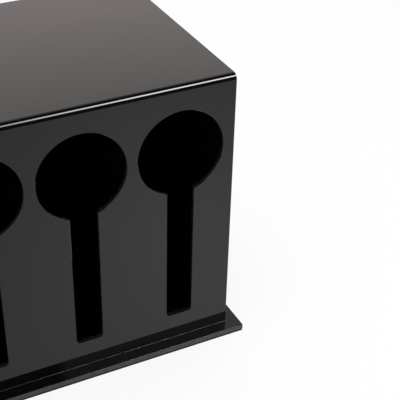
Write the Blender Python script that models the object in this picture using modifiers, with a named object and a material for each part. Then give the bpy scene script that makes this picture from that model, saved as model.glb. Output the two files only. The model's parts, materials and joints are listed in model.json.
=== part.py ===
"""Countertop cutlery dispenser in black acrylic sheet.

One bent sheet makes the front and the top. A keyhole window in it shows each lane and lets a hand
take the cutlery out. Dividers part the lanes, and a hinged door at the back opens them for filling.
Metres, +Z up. The front faces -Y. The origin is on the ground, under the middle of the base plate.
"""

import math

import bmesh
import bpy

# Lanes and their keyhole windows
LANE_COUNT = 3
LANE_PITCH = 0.08475
CIRCLE_RADIUS = 0.038
CIRCLE_MARGIN = 0.00975
CIRCLE_HEIGHT = 0.1904
SLOT_WIDTH = 0.0245
SLOT_BOTTOM = 0.026
SLOT_CORNER_RADIUS = 0.0026
NECK_RADIUS = 0.0015

# Sheets of the body and the base plate
SHEET = 0.004
BODY_HEIGHT = 0.250
BODY_DEPTH = 0.209
BEND_INNER_RADIUS = 0.001
PLATE_THICKNESS = 0.005
PLATE_LIP = 0.0118
PLATE_EASE = 0.0004
SEAT_GAP = 0.0003

# Rubber feet
FOOT_HEIGHT = 0.0012
FOOT_RADIUS = 0.006
FOOT_TAPER = 0.001
FOOT_EDGE = 0.0004
FOOT_INSET = 0.014

# Rear door, the stile that carries it, and their running clearance
STILE_WIDTH = 0.018
DOOR_CLEARANCE = 0.001
DOOR_EASE = 0.0004

# Butt hinges of the door
HINGE_LENGTH = 0.030
HINGE_INSET = 0.030
LEAF_WIDTH = 0.014
LEAF_THICKNESS = 0.0016
LEAF_CORNER_RADIUS = 0.0015
KNUCKLE_COUNT = 5
KNUCKLE_WALL = 0.0013
KNUCKLE_GAP = 0.0003
PIN_RADIUS = 0.0011
PIN_CLEARANCE = 0.0002
PIN_HEAD_OVERHANG = 0.0009
PIN_HEAD_HEIGHT = 0.0008
PIN_TIP_CHAMFER = 0.0003

# Finger knob and its screw
KNOB_RADIUS = 0.007
KNOB_LENGTH = 0.010
KNOB_NECK_RADIUS = 0.0042
KNOB_NECK_LENGTH = 0.0045
KNOB_EDGE_RADIUS = 0.0012
KNOB_DISH = 0.0006
KNOB_INSET = 0.020
KNOB_BORE_DEPTH = 0.006
SCREW_RADIUS = 0.00135
SCREW_HEAD_RADIUS = 0.0028
SCREW_HEAD_HEIGHT = 0.0016
SCREW_RECESS_RADIUS = 0.001
SCREW_RECESS_DEPTH = 0.0009
SCREW_END_GAP = 0.001

# Magnet catch inside the free edge of the door
MAGNET_RADIUS = 0.003
MAGNET_THICKNESS = 0.002
CATCH_WALL = 0.002
CATCH_GAP = 0.0004
CATCH_DROP = 0.030
STRIKE_RADIUS = 0.004
STRIKE_THICKNESS = 0.0008

# Roundness of the solids, in steps round a full circle or along one arc, and how far cuts overrun
CIRCLE_STEPS = 56
CORNER_STEPS = 4
BEND_STEPS = 9
TURNED_STEPS = 28
KNUCKLE_STEPS = 18
CUT_OVERRUN = 0.002
MERGE_DISTANCE = 1e-6
SMOOTH_ANGLE = math.radians(32)

# Worked out from the sizes above
BODY_WIDTH = 2 * (CIRCLE_MARGIN + CIRCLE_RADIUS) + (LANE_COUNT - 1) * LANE_PITCH
PLATE_WIDTH = BODY_WIDTH + 2 * PLATE_LIP
PLATE_DEPTH = BODY_DEPTH + 2 * PLATE_LIP
PLATE_BOTTOM = FOOT_HEIGHT + SEAT_GAP
PLATE_TOP = PLATE_BOTTOM + PLATE_THICKNESS
BODY_TOP = PLATE_TOP + BODY_HEIGHT
BODY_FLOOR = PLATE_TOP + SEAT_GAP
CEILING = BODY_TOP - SHEET
FRONT = -BODY_DEPTH / 2
BACK = BODY_DEPTH / 2
SIDE = BODY_WIDTH / 2
SIDE_INNER = SIDE - SHEET
DOOR_INNER = BACK - SHEET
DOOR_HEIGHT = CEILING - PLATE_TOP - 2 * DOOR_CLEARANCE
DOOR_MIDDLE_Z = (CEILING + PLATE_TOP) / 2
STILE_LEFT = -SIDE_INNER + SEAT_GAP
STILE_RIGHT = STILE_LEFT + STILE_WIDTH
KNUCKLE_RADIUS = PIN_RADIUS + PIN_CLEARANCE + KNUCKLE_WALL
AXIS_X = STILE_RIGHT + DOOR_CLEARANCE / 2
AXIS_Y = BACK + SEAT_GAP + KNUCKLE_RADIUS
DOOR_LEFT = STILE_RIGHT + DOOR_CLEARANCE
DOOR_RIGHT = SIDE_INNER - DOOR_CLEARANCE
HINGE_RISE = DOOR_HEIGHT / 2 - HINGE_INSET - HINGE_LENGTH / 2
CATCH_SIZE = 2 * (MAGNET_RADIUS + SEAT_GAP + CATCH_WALL)
CATCH_X = SIDE_INNER - SEAT_GAP - CATCH_SIZE / 2
CATCH_Z = CEILING - CATCH_DROP
STRIKE_FACE = DOOR_INNER - SEAT_GAP - STRIKE_THICKNESS
KNOB_X = DOOR_RIGHT - KNOB_INSET
BORE_RADIUS = SCREW_RADIUS + SEAT_GAP


def clear_scene():
    for obj in list(bpy.data.objects):
        bpy.data.objects.remove(obj, do_unlink=True)


def make_collection(name):
    collection = bpy.data.collections.new(name)
    bpy.context.scene.collection.children.link(collection)
    return collection


def make_material(name, colour, roughness, metallic=0.0):
    material = bpy.data.materials.new(name)
    material.use_nodes = True
    shader = material.node_tree.nodes["Principled BSDF"]
    shader.inputs["Base Color"].default_value = (*colour, 1.0)
    shader.inputs["Roughness"].default_value = roughness
    shader.inputs["Metallic"].default_value = metallic
    return material


def place(obj, location, parent=None, turn=(0, 0, 0)):
    """Puts an object at a world place, under a parent that is itself unturned."""
    obj.parent = parent
    start = parent.location if parent else (0, 0, 0)
    obj.location = [there - here for there, here in zip(location, start)]
    obj.rotation_euler = [math.radians(angle) for angle in turn]
    return obj


def object_from(name, mesh, collection, material=None):
    obj = bpy.data.objects.new(name, mesh)
    collection.objects.link(obj)
    if material:
        mesh.materials.append(material)
    if collection is cutters:
        obj.hide_render = True
        obj.display_type = "WIRE"
    return obj


def block(name, size, collection, material=None):
    """A box about its own middle, with its size in the mesh."""
    shape = bmesh.new()
    bmesh.ops.create_cube(shape, size=1)
    bmesh.ops.scale(shape, vec=size, verts=shape.verts)
    mesh = bpy.data.meshes.new(name)
    shape.to_mesh(mesh)
    shape.free()
    return object_from(name, mesh, collection, material)


def rod(name, radius, length, collection, material=None, steps=TURNED_STEPS):
    """A cylinder about its own middle, along Z."""
    shape = bmesh.new()
    bmesh.ops.create_cone(
        shape, cap_ends=True, segments=steps, radius1=radius, radius2=radius, depth=length
    )
    mesh = bpy.data.meshes.new(name)
    shape.to_mesh(mesh)
    shape.free()
    return object_from(name, mesh, collection, material)


def turned(name, profile, collection, material=None):
    """A shape turned about Z. The profile gives (radius, height) down its outer side."""
    mesh = bpy.data.meshes.new(name)
    corners = [(radius, 0, height) for radius, height in profile]
    mesh.from_pydata(corners, [(i, i + 1) for i in range(len(corners) - 1)], [])
    obj = object_from(name, mesh, collection, material)
    screw = obj.modifiers.new("turn", "SCREW")
    screw.steps = TURNED_STEPS
    screw.render_steps = TURNED_STEPS
    screw.use_merge_vertices = True
    screw.merge_threshold = MERGE_DISTANCE
    return obj


def extruded(name, outline, thickness, collection, material=None):
    """A flat outline in local XY, made this thick along Z."""
    curve = bpy.data.curves.new(name + "_outline", "CURVE")
    curve.dimensions = "2D"
    curve.fill_mode = "BOTH"
    curve.extrude = thickness / 2
    spline = curve.splines.new("POLY")
    spline.points.add(len(outline) - 1)
    for point, (across, up) in zip(spline.points, outline):
        point.co = (across, up, 0, 1)
    spline.use_cyclic_u = True
    guide = object_from(name + "_outline", curve, cutters)
    bpy.context.view_layer.update()
    graph = bpy.context.evaluated_depsgraph_get()
    mesh = bpy.data.meshes.new_from_object(guide.evaluated_get(graph))
    bpy.data.objects.remove(guide, do_unlink=True)
    shape = bmesh.new()
    shape.from_mesh(mesh)
    bmesh.ops.remove_doubles(shape, verts=shape.verts, dist=MERGE_DISTANCE)
    bmesh.ops.recalc_face_normals(shape, faces=shape.faces)
    shape.to_mesh(mesh)
    shape.free()
    mesh.name = name
    return object_from(name, mesh, collection, material)


def cut(obj, cutter):
    boolean = obj.modifiers.new("cut_" + cutter.name, "BOOLEAN")
    boolean.operation = "DIFFERENCE"
    boolean.object = cutter


def ease(obj, width):
    """Breaks the sharp edges, as on a sheet that was trimmed and flame polished."""
    bevel = obj.modifiers.new("ease", "BEVEL")
    bevel.width = width
    bevel.segments = 1
    bevel.limit_method = "ANGLE"


def apply_and_smooth(collection):
    """Makes each piece's shape final, with round faces smooth and corners sharp."""
    bpy.context.view_layer.update()
    graph = bpy.context.evaluated_depsgraph_get()
    for obj in collection.objects:
        if obj.type != "MESH":
            continue
        mesh = bpy.data.meshes.new_from_object(obj.evaluated_get(graph))
        obj.modifiers.clear()
        obj.data = mesh
        mesh.name = obj.name
        mesh.shade_smooth()
        mesh.set_sharp_from_angle(angle=SMOOTH_ANGLE)


def arc(centre, radius, start, end, steps):
    """Points from one angle to another, in degrees, both ends included."""
    turns = [math.radians(start + (end - start) * step / steps) for step in range(steps + 1)]
    return [
        (centre[0] + radius * math.cos(turn), centre[1] + radius * math.sin(turn))
        for turn in turns
    ]


def lane_middles():
    first = -(LANE_COUNT - 1) * LANE_PITCH / 2
    return [first + lane * LANE_PITCH for lane in range(LANE_COUNT)]


def keyhole_outline():
    """The window about its circle's middle: the circle, a small round at each neck, and the slot."""
    half = SLOT_WIDTH / 2
    neck_x = half + NECK_RADIUS
    neck_z = -math.sqrt((CIRCLE_RADIUS + NECK_RADIUS) ** 2 - neck_x**2)
    lean = -math.degrees(math.atan2(neck_z, neck_x))
    corner_x = half - SLOT_CORNER_RADIUS
    corner_z = SLOT_BOTTOM + SLOT_CORNER_RADIUS - CIRCLE_HEIGHT
    circle = arc((0, 0), CIRCLE_RADIUS, -lean, 180 + lean, CIRCLE_STEPS)
    return (
        circle[1:-1]
        + arc((-neck_x, neck_z), NECK_RADIUS, lean, 0, CORNER_STEPS)
        + arc((-corner_x, corner_z), SLOT_CORNER_RADIUS, 180, 270, CORNER_STEPS)
        + arc((corner_x, corner_z), SLOT_CORNER_RADIUS, 270, 360, CORNER_STEPS)
        + arc((neck_x, neck_z), NECK_RADIUS, 180, 180 - lean, CORNER_STEPS)
    )


def front_top_shell():
    """One sheet, bent over the front edge, with a keyhole window to each lane."""
    shape = bmesh.new()
    outer = [(FRONT, BODY_FLOOR), (FRONT, BODY_TOP), (BACK, BODY_TOP)]
    corners = [shape.verts.new((-SIDE, y, z)) for y, z in outer]
    edges = [shape.edges.new(pair) for pair in zip(corners, corners[1:])]
    swept = bmesh.ops.extrude_edge_only(shape, edges=edges)["geom"]
    moved = [item for item in swept if isinstance(item, bmesh.types.BMVert)]
    bmesh.ops.translate(shape, vec=(BODY_WIDTH, 0, 0), verts=moved)
    bend = [edge for edge in shape.edges if len(edge.link_faces) == 2]
    bmesh.ops.bevel(
        shape,
        geom=bend,
        offset=BEND_INNER_RADIUS + SHEET,
        segments=BEND_STEPS,
        profile=0.5,
        affect="EDGES",
    )
    bmesh.ops.recalc_face_normals(shape, faces=shape.faces)
    # The outside is the side seen from the front and from above.
    if sum((face.normal.z - face.normal.y for face in shape.faces)) < 0:
        bmesh.ops.reverse_faces(shape, faces=shape.faces)
    mesh = bpy.data.meshes.new("front_top_shell")
    shape.to_mesh(mesh)
    shape.free()
    shell = object_from("front_top_shell", mesh, parts, acrylic)
    sheet = shell.modifiers.new("sheet", "SOLIDIFY")
    sheet.thickness = SHEET
    sheet.offset = -1
    sheet.use_even_offset = True
    for lane, middle in enumerate(lane_middles(), 1):
        window = extruded(
            f"window_{lane}_cutter", keyhole_outline(), SHEET + 2 * CUT_OVERRUN, cutters
        )
        place(window, (middle, FRONT + SHEET / 2, PLATE_TOP + CIRCLE_HEIGHT), turn=(90, 0, 0))
        cut(shell, window)
    place(shell, (0, 0, 0), base)


def upright_outline(rear):
    """A wall's outline in depth and height. Its front top corner follows the bend of the shell."""
    front = FRONT + SHEET + SEAT_GAP
    top = CEILING - SEAT_GAP
    bend = arc((front + BEND_INNER_RADIUS, top - BEND_INNER_RADIUS), BEND_INNER_RADIUS, 90, 180,
               CORNER_STEPS)
    return [(front, BODY_FLOOR), (rear, BODY_FLOOR), (rear, top)] + bend


def uprights():
    """The side panels reach the back, and the dividers end where the door closes."""
    panel_middle = SIDE - SHEET / 2
    for name, middle in (("left", -panel_middle), ("right", panel_middle)):
        panel = extruded(f"side_panel_{name}", upright_outline(BACK), SHEET, parts, acrylic)
        place(panel, (middle, 0, 0), base, (90, 0, 90))
    middles = lane_middles()
    for number, (here, there) in enumerate(zip(middles, middles[1:]), 1):
        divider = extruded(
            f"divider_{number}", upright_outline(DOOR_INNER - SEAT_GAP), SHEET, parts, acrylic
        )
        place(divider, ((here + there) / 2, 0, 0), base, (90, 0, 90))


def base_plate():
    size = (PLATE_WIDTH, PLATE_DEPTH, PLATE_THICKNESS)
    plate = block("base_plate", size, parts, acrylic)
    ease(plate, PLATE_EASE)
    place(plate, (0, 0, PLATE_BOTTOM + PLATE_THICKNESS / 2), base)


def feet():
    profile = [
        (0, FOOT_HEIGHT),
        (FOOT_RADIUS, FOOT_HEIGHT),
        (FOOT_RADIUS - FOOT_TAPER, FOOT_EDGE),
        (FOOT_RADIUS - FOOT_TAPER - FOOT_EDGE, 0),
        (0, 0),
    ]
    reach_x = PLATE_WIDTH / 2 - FOOT_INSET
    reach_y = PLATE_DEPTH / 2 - FOOT_INSET
    places = {
        "front_left": (-reach_x, -reach_y),
        "front_right": (reach_x, -reach_y),
        "rear_left": (-reach_x, reach_y),
        "rear_right": (reach_x, reach_y),
    }
    for name, (x, y) in places.items():
        place(turned(f"foot_{name}", profile, parts, rubber), (x, y, 0), base)


def hinge_stile():
    """The fixed strip beside the door, bonded to the left panel, that carries the hinges."""
    height = CEILING - SEAT_GAP - BODY_FLOOR
    stile = block("hinge_stile", (STILE_WIDTH, SHEET, height), parts, acrylic)
    middle = (STILE_LEFT + STILE_WIDTH / 2, BACK - SHEET / 2, BODY_FLOOR + height / 2)
    place(stile, middle, base)


def rear_door():
    width = DOOR_RIGHT - DOOR_LEFT
    door = block("rear_door", (width, SHEET, DOOR_HEIGHT), parts, acrylic)
    ease(door, DOOR_EASE)
    place(door, (DOOR_LEFT + width / 2, BACK - SHEET / 2, DOOR_MIDDLE_Z), door_axis)
    bore = rod("door_bore_cutter", BORE_RADIUS, SHEET + 2 * CUT_OVERRUN, cutters)
    place(bore, (KNOB_X, BACK - SHEET / 2, DOOR_MIDDLE_Z), turn=(90, 0, 0))
    cut(door, bore)


def leaf_outline(side):
    """A hinge leaf seen along its pin: the knuckle's round, and the flat that lies on the sheet."""
    radius = KNUCKLE_RADIUS
    top = LEAF_THICKNESS - radius
    meet = math.degrees(math.asin(top / radius))
    knuckle = arc((0, 0), radius, meet, 270, KNUCKLE_STEPS)
    corner = LEAF_WIDTH - LEAF_CORNER_RADIUS
    rounded = arc((corner, top - LEAF_CORNER_RADIUS), LEAF_CORNER_RADIUS, 0, 90, CORNER_STEPS)
    return [(side * x, y) for x, y in [(LEAF_WIDTH, -radius)] + rounded + knuckle]


def hinge_leaf(name, side, holds, middle_z, parent):
    """One leaf. holds lists its own knuckles, and the others' room is cut out of it."""
    centre = (AXIS_X, AXIS_Y, middle_z)
    leaf = extruded(name, leaf_outline(side), HINGE_LENGTH, parts, hinge_plastic)
    place(leaf, centre, parent)
    bore = rod(f"{name}_bore_cutter", PIN_RADIUS + PIN_CLEARANCE,
               HINGE_LENGTH + 2 * CUT_OVERRUN, cutters)
    place(bore, centre)
    cut(leaf, bore)
    step = HINGE_LENGTH / KNUCKLE_COUNT
    reach = KNUCKLE_RADIUS + KNUCKLE_GAP
    for knuckle in range(KNUCKLE_COUNT):
        if knuckle in holds:
            continue
        low = -HINGE_LENGTH / 2 + knuckle * step - KNUCKLE_GAP / 2
        high = low + step + KNUCKLE_GAP
        # An end notch runs out past the end of the hinge.
        if knuckle == 0:
            low -= CUT_OVERRUN
        if knuckle == KNUCKLE_COUNT - 1:
            high += CUT_OVERRUN
        size = (2 * reach, 2 * (reach + CUT_OVERRUN), high - low)
        notch = block(f"{name}_notch_{knuckle}_cutter", size, cutters)
        place(notch, (AXIS_X, AXIS_Y, middle_z + (low + high) / 2))
        cut(leaf, notch)


def hinge_pin(name, middle_z):
    """A steel pin with a low head that rests on the top knuckle."""
    top = HINGE_LENGTH / 2 + SEAT_GAP
    bottom = -HINGE_LENGTH / 2
    head = PIN_RADIUS + PIN_HEAD_OVERHANG
    profile = [
        (0, top + PIN_HEAD_HEIGHT),
        (PIN_RADIUS, top + PIN_HEAD_HEIGHT),
        (head, top + PIN_HEAD_HEIGHT / 2),
        (head, top),
        (PIN_RADIUS, top),
        (PIN_RADIUS, bottom + PIN_TIP_CHAMFER),
        (PIN_RADIUS - PIN_TIP_CHAMFER, bottom),
        (0, bottom),
    ]
    place(turned(name, profile, parts, steel), (AXIS_X, AXIS_Y, middle_z), base)


def hinges():
    """The stile's leaf holds the outer knuckles and the middle one, the door's leaf the others."""
    stile_knuckles = range(0, KNUCKLE_COUNT, 2)
    door_knuckles = range(1, KNUCKLE_COUNT, 2)
    for name, rise in (("upper", HINGE_RISE), ("lower", -HINGE_RISE)):
        middle_z = DOOR_MIDDLE_Z + rise
        hinge_leaf(f"{name}_hinge_stile_leaf", -1, stile_knuckles, middle_z, base)
        hinge_leaf(f"{name}_hinge_door_leaf", 1, door_knuckles, middle_z, door_axis)
        hinge_pin(f"{name}_hinge_pin", middle_z)


def door_knob():
    """A turned knob with a dished face, held by a screw from inside the door."""
    edge = KNOB_RADIUS - KNOB_EDGE_RADIUS
    face = KNOB_LENGTH - KNOB_EDGE_RADIUS
    shoulder = KNOB_NECK_LENGTH + KNOB_EDGE_RADIUS
    profile = (
        [(0, KNOB_LENGTH - KNOB_DISH), (edge - KNOB_DISH, KNOB_LENGTH - KNOB_DISH)]
        + arc((edge, face), KNOB_EDGE_RADIUS, 90, 0, CORNER_STEPS)
        + arc((edge, shoulder), KNOB_EDGE_RADIUS, 0, -90, CORNER_STEPS)
        + [(KNOB_NECK_RADIUS, KNOB_NECK_LENGTH), (KNOB_NECK_RADIUS, 0), (0, 0)]
    )
    knob = turned("door_knob", profile, parts, acrylic)
    seat = (KNOB_X, BACK + SEAT_GAP, DOOR_MIDDLE_Z)
    place(knob, seat, door_axis, (-90, 0, 0))
    bore = rod("knob_bore_cutter", BORE_RADIUS, KNOB_BORE_DEPTH + CUT_OVERRUN, cutters)
    depth = BACK + SEAT_GAP + (KNOB_BORE_DEPTH - CUT_OVERRUN) / 2
    place(bore, (KNOB_X, depth, DOOR_MIDDLE_Z), turn=(-90, 0, 0))
    cut(knob, bore)


def knob_screw():
    """Its head lies on the inside of the door, and its shank ends in the knob's bore."""
    shank = SHEET + 2 * SEAT_GAP + KNOB_BORE_DEPTH - SCREW_END_GAP
    profile = [
        (0, shank),
        (SCREW_RADIUS, shank),
        (SCREW_RADIUS, 0),
        (SCREW_HEAD_RADIUS, 0),
        (SCREW_HEAD_RADIUS, -SCREW_HEAD_HEIGHT / 2),
        ((SCREW_HEAD_RADIUS + SCREW_RECESS_RADIUS) / 2, -SCREW_HEAD_HEIGHT),
        (SCREW_RECESS_RADIUS, -SCREW_HEAD_HEIGHT),
        (SCREW_RECESS_RADIUS, SCREW_RECESS_DEPTH - SCREW_HEAD_HEIGHT),
        (0, SCREW_RECESS_DEPTH - SCREW_HEAD_HEIGHT),
    ]
    screw = turned("knob_screw", profile, parts, steel)
    place(screw, (KNOB_X, DOOR_INNER - SEAT_GAP, DOOR_MIDDLE_Z), door_axis, (-90, 0, 0))


def magnet_catch():
    """A block on the right panel holds the magnet, and the door carries the steel strike."""
    pocket = MAGNET_THICKNESS + SEAT_GAP
    depth = pocket + CATCH_WALL
    face = STRIKE_FACE - CATCH_GAP
    holder = block("catch_block", (CATCH_SIZE, depth, CATCH_SIZE), parts, acrylic)
    place(holder, (CATCH_X, face - depth / 2, CATCH_Z), base)
    socket = rod("catch_pocket_cutter", MAGNET_RADIUS + SEAT_GAP, pocket + CUT_OVERRUN, cutters)
    socket_middle = face + (CUT_OVERRUN - pocket) / 2
    place(socket, (CATCH_X, socket_middle, CATCH_Z), turn=(90, 0, 0))
    cut(holder, socket)
    magnet = rod("catch_magnet", MAGNET_RADIUS, MAGNET_THICKNESS, parts, magnet_plate)
    place(magnet, (CATCH_X, face - MAGNET_THICKNESS / 2, CATCH_Z), base, (90, 0, 0))
    strike = rod("catch_strike", STRIKE_RADIUS, STRIKE_THICKNESS, parts, steel)
    strike_middle = STRIKE_FACE + STRIKE_THICKNESS / 2
    place(strike, (CATCH_X, strike_middle, CATCH_Z), door_axis, (90, 0, 0))


def make_empty(name, location):
    empty = bpy.data.objects.new(name, None)
    parts.objects.link(empty)
    empty.location = location
    return empty


clear_scene()
parts = make_collection("cutlery_dispenser")
cutters = make_collection("cutters")
cutters.hide_render = True
acrylic = make_material("black_acrylic", (0.006, 0.006, 0.006), 0.06)
hinge_plastic = make_material("black_hinge_plastic", (0.012, 0.012, 0.012), 0.22)
steel = make_material("bright_steel", (0.62, 0.62, 0.61), 0.28, 1.0)
magnet_plate = make_material("nickel_plate", (0.66, 0.63, 0.57), 0.2, 1.0)
rubber = make_material("black_rubber", (0.02, 0.02, 0.02), 0.75)
base = make_empty("base_frame", (0, 0, 0))
door_axis = make_empty("door_hinge_axis", (AXIS_X, AXIS_Y, DOOR_MIDDLE_Z))

base_plate()
feet()
front_top_shell()
uprights()
hinge_stile()
rear_door()
hinges()
door_knob()
knob_screw()
magnet_catch()
apply_and_smooth(parts)
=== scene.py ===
"""Looks of the black acrylic cutlery dispenser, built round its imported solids.

Every sheet is remade with polished faces, satin cut edges and a fine break along its corners. The
bend of the front sheet, the keyhole windows, the hinges, the knob and the feet are modelled finer
than the solids, in the same places. All lengths are in metres.
"""

import json
import math

import bmesh
import bpy
from mathutils import Euler, Matrix, Vector, noise

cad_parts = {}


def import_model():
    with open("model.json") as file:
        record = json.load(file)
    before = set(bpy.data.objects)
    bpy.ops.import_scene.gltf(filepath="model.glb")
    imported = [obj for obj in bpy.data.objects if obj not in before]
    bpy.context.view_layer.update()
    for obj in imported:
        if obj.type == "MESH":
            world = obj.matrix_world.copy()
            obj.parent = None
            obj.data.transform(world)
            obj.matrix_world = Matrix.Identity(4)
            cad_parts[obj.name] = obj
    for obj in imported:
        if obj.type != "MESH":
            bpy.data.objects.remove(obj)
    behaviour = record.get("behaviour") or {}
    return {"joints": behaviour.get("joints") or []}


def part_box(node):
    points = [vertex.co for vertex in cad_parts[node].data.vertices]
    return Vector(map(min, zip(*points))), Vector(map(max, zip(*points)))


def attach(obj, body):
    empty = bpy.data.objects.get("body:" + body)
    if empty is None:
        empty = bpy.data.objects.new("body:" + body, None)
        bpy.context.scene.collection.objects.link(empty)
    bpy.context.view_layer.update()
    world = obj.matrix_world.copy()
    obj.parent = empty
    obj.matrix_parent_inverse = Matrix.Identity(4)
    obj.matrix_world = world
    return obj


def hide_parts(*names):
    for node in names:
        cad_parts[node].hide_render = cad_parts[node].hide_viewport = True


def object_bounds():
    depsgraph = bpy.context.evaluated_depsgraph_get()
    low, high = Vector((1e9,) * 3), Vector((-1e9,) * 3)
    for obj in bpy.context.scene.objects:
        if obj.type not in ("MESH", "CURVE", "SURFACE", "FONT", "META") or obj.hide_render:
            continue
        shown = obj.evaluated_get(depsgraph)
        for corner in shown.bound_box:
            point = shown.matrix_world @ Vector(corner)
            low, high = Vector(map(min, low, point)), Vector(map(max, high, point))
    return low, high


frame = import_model()
cad_low, cad_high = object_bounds()

# Keyhole windows, from the foot of the front sheet up
WINDOW_RADIUS = 0.038
WINDOW_PITCH = 0.08475
WINDOW_HEIGHT = 0.1904
SLOT_WIDTH = 0.0245
SLOT_BOTTOM = 0.026
SLOT_CORNER = 0.0026
NECK_ROUND = 0.0012
ARRIS_WIDTH = 0.0005
ARRIS_DEPTH = 0.00033
ARRIS_INSIDE = 0.0003
ARRIS_OVERRUN = 1.3
WINDOW_STEPS = 120

# Acrylic sheet, the outside of its bend, and the cement along its joints
SHEET = 0.004
BEND_RADIUS = 0.005
BEND_STEPS = 28
SEAM = 0.0003
EDGE_BREAK = 0.00035
PLATE_EDGE_BREAK = 0.0003
BEAD_LEG = 0.00035
BEAD_BURY = 0.00015
BEAD_WANDER = 0.0001
BEAD_GRAIN = 420
BEAD_SHIFT = 99
BEAD_LEAN = 0.25
BEAD_CUTS = 150
BEAD_LONG_EDGE = 0.9
BEAD_ARC = (262, 188)

# Hinges, knob, screw, catch and feet
LEAF_THICKNESS = 0.0016
LEAF_ROUND = 0.0015
LEAF_ROUND_STEPS = 6
KNUCKLES = 5
KNUCKLE_GAP = 0.0003
PIN_RADIUS = 0.0011
BORE_RADIUS = 0.0013
PIN_HEAD_HEIGHT = 0.0008
PIN_HEAD_ROUND = 0.0004
PIN_CROWN = 0.0001
PIN_SHOULDER = 70
PIN_TIP = 0.0003
SMALL_BREAK = 0.0002
KNOB_NECK_RADIUS = 0.0042
KNOB_NECK_LENGTH = 0.0045
KNOB_ROUND = 0.0012
KNOB_DISH = 0.0006
KNOB_GROOVE = 0.00025
SCREW_SHANK = 0.00135
SCREW_HEAD = 0.0016
SCREW_HEAD_ROUND = 0.0008
SCREW_RIM = 0.0001
CROSS_WIDTH = 0.0006
CROSS_LENGTH = 0.0030
CROSS_DEPTH = 0.0009
POCKET_RADIUS = 0.0033
MAGNET_RIM = 0.0003
STRIKE_RIM = 0.0002
FOOT_EDGE = 0.0004
FOOT_TAPER = 0.001

# How far a cut runs past its piece, and how many sheets long the rod is that bores the door
CUT_OVERRUN = 0.002
BORE_RUN = 6

# Steps round turned pieces and rounds, then the angles of corners, shading and turns, in degrees
TURN_STEPS = 72
QUARTER_STEPS = 6
FINE_STEPS = 4
CORNER_STEPS = 8
BREAK_STEPS = 3
BREAK_ANGLE = 65
BREAK_WEIGHT = 100
CRISP = 31.5
TURNED_CRISP = 35
LYING = (-90, 0, 0)
BORED = (90, 0, 0)
CLOSE = 1e-7

# Finishes: each pattern by its scale, detail and roughness, colours by their place along it
ACRYLIC_INDEX = 1.49
HAZE = (1300, 2, 0.7)
HAZE_COLOURS = ((0.3, (0.0008, 0.0008, 0.0009)), (0.7, (0.0062, 0.0061, 0.0060)))
DUST_SCALE = 240
DUST_COLOURS = ((0.0, (0.035, 0.034, 0.033)), (0.06, (0, 0, 0)))
WIPING = (4.5, 6, 0.65)
WIPING_STRETCH = (6, 2.2, 2.2)
WIPING_ROUGHNESS = (0.02, 0.06)
WAVE = (7, 1.5)
WAVE_HEIGHT = 0.00022
RIPPLE = (260, 2)
RIPPLE_HEIGHT = 0.0000012
SAW_MARKS = (2400, 2, 0.7)
SAW_STRETCH = 0.02
SAW_COLOURS = ((0.3, (0.026, 0.026, 0.026)), (0.72, (0.044, 0.043, 0.042)))
SAW_HEIGHT = 0.000012
SATIN_PATCHES = (160, 3)
SATIN_ROUGHNESS = (0.2, 0.38)
DRAG_LINES = (1600, 2, 0.6)
DRAG_STRETCH = (1, 0.03, 1)
DRAG_COLOURS = ((0.3, (0.005, 0.005, 0.005)), (0.7, (0.009, 0.009, 0.0085)))
DRAG_ROUGHNESS = (0.22, 0.34)
DRAG_HEIGHT = 0.000008
CEMENT_CLOUD = 500
CEMENT_COLOURS = ((0.3, (0.004, 0.004, 0.004)), (0.7, (0.011, 0.011, 0.012)))
CEMENT_GLOSS = 900
CEMENT_ROUGHNESS = (0.05, 0.16)
CEMENT_RUNS = 1400
CEMENT_HEIGHT = 0.00002
MOULD_GRAIN = (3200, 2, 0.6)
MOULD_HEIGHT = 0.000008
MOULD_CLOUD = 90
MOULD_COLOURS = ((0.3, (0.011, 0.011, 0.012)), (0.7, (0.019, 0.019, 0.018)))
RUBBED = 130
RUBBED_ROUGHNESS = (0.24, 0.4)
STEEL_LINES = (6000, 2, 0.7)
STEEL_STRETCH = (0.1, 0.1, 1)
STEEL_ROUGHNESS = (0.18, 0.36)
STEEL_HEIGHT = 0.000004
STEEL_PATCHES = (700, 3)
STEEL_COLOURS = ((0.3, (0.50, 0.49, 0.48)), (0.7, (0.66, 0.655, 0.64)))
NICKEL_CLOUD = 400
NICKEL_COLOURS = ((0.3, (0.58, 0.55, 0.49)), (0.7, (0.70, 0.67, 0.61)))
NICKEL_GLOSS = 900
NICKEL_ROUGHNESS = (0.1, 0.24)
RUBBER_GRAIN = (2600, 3, 0.7)
RUBBER_COLOURS = ((0.35, (0.016, 0.016, 0.016)), (0.75, (0.045, 0.043, 0.041)))
RUBBER_ROUGHNESS = (0.62, 0.85)
RUBBER_HEIGHT = 0.00003

# Sockets of a colour mix
MIX_SHARE, MIX_FIRST, MIX_SECOND, MIX_RESULT = 0, 6, 7, 2

# The camera: 400 pixels wide, its focal length and the picture's true middle in pixels
PICTURE_WIDTH = 400
FOCAL_PIXELS = 1030.0
MIDDLE_ACROSS = 181.65
MIDDLE_DOWN = 243.6
CAMERA_PLACE = (-0.2326, -0.7343, 0.6186)
CAMERA_YAW = -26.85
CAMERA_PITCH = -35.88
CAMERA_ROLL = 0.90
SENSOR = 36.0
CLIP_START = 0.01

# The room's own light, the soft box overhead, the matt white of the floor and its painted shadow
# under the plate
SKY_LIGHT = 0.7
BOX_SIZE = (1.3, 1.3)
BOX_PLACE = (0.15, -0.30, 1.60)
BOX_AIM = (0.0, 0.0, 0.15)
BOX_POWER = 12.5
FLOOR_SIZE = (12, 12)
FLOOR_WHITE = 0.95
# Painted shadow: the floor's matt colour under the plate, painted dark
FLOOR_PAINTED_SHADOW = 0.06

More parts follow.
